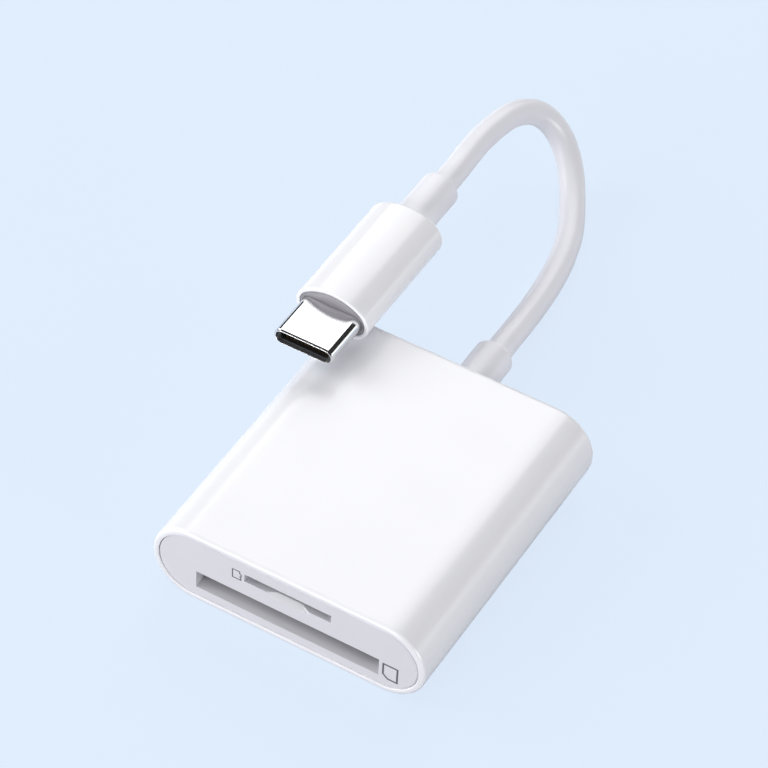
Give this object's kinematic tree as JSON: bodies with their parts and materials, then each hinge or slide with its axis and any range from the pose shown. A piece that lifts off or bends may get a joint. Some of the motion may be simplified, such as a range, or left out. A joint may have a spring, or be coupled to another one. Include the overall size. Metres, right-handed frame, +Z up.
{
  "type": "usb memory card reader",
  "caption": "Flat white card reader with round sides, a wide and a small card slot in its grey front plate, and a short cable to a small oval plug.",
  "frame": {"origin": "middle of the housing's underside", "axes": "+Y from the card slots towards the cable, +Z up, +X to the right seen from the card slots"},
  "size_m": [0.0397, 0.0889, 0.0176],
  "materials": {
    "white_plastic": "satin",
    "grey_plastic": "satin",
    "white_jacket": "matte",
    "black_plastic": "matte",
    "bright_steel": "satin",
    "contact_metal": "gilt",
    "board_laminate": "satin",
    "chip_resin": "matte",
    "capacitor_ceramic": "matte",
    "resistor_ceramic": "matte",
    "nylon_mould": "matte",
    "red_insulation": "satin",
    "white_insulation": "satin",
    "green_insulation": "satin",
    "black_insulation": "satin"
  },
  "bodies": {
    "root": {"housing_sleeve": "white_plastic", "front_bezel": "grey_plastic", "main_board": "board_laminate", "wide_socket_base": "black_plastic", "wide_socket_frame": "black_plastic", "wide_socket_cover": "bright_steel", "wide_contacts": "contact_metal", "wide_switch_contacts": "contact_metal", "small_socket_base": "black_plastic", "small_socket_frame": "black_plastic", "small_socket_cover": "bright_steel", "small_contacts": "contact_metal", "controller_chip": "chip_resin", "chip_capacitors": "capacitor_ceramic", "chip_resistors": "resistor_ceramic", "body_strain_relief": "white_jacket", "cable_inner_end": "white_jacket", "power_wire": "red_insulation", "data_minus_wire": "white_insulation", "data_plus_wire": "green_insulation", "ground_wire": "black_insulation", "cable": "white_jacket", "plug_strain_relief": "white_jacket", "plug_barrel": "white_plastic", "plug_nose_insert": "grey_plastic", "plug_shell": "bright_steel", "plug_insulator": "black_plastic", "plug_upper_contacts": "contact_metal", "plug_lower_contacts": "contact_metal", "plug_latch_plate": "bright_steel", "plug_paddle_board": "board_laminate", "plug_resistor": "resistor_ceramic", "plug_wires": "black_insulation", "plug_inner_mould": "nylon_mould"}
  },
  "joints": []
}
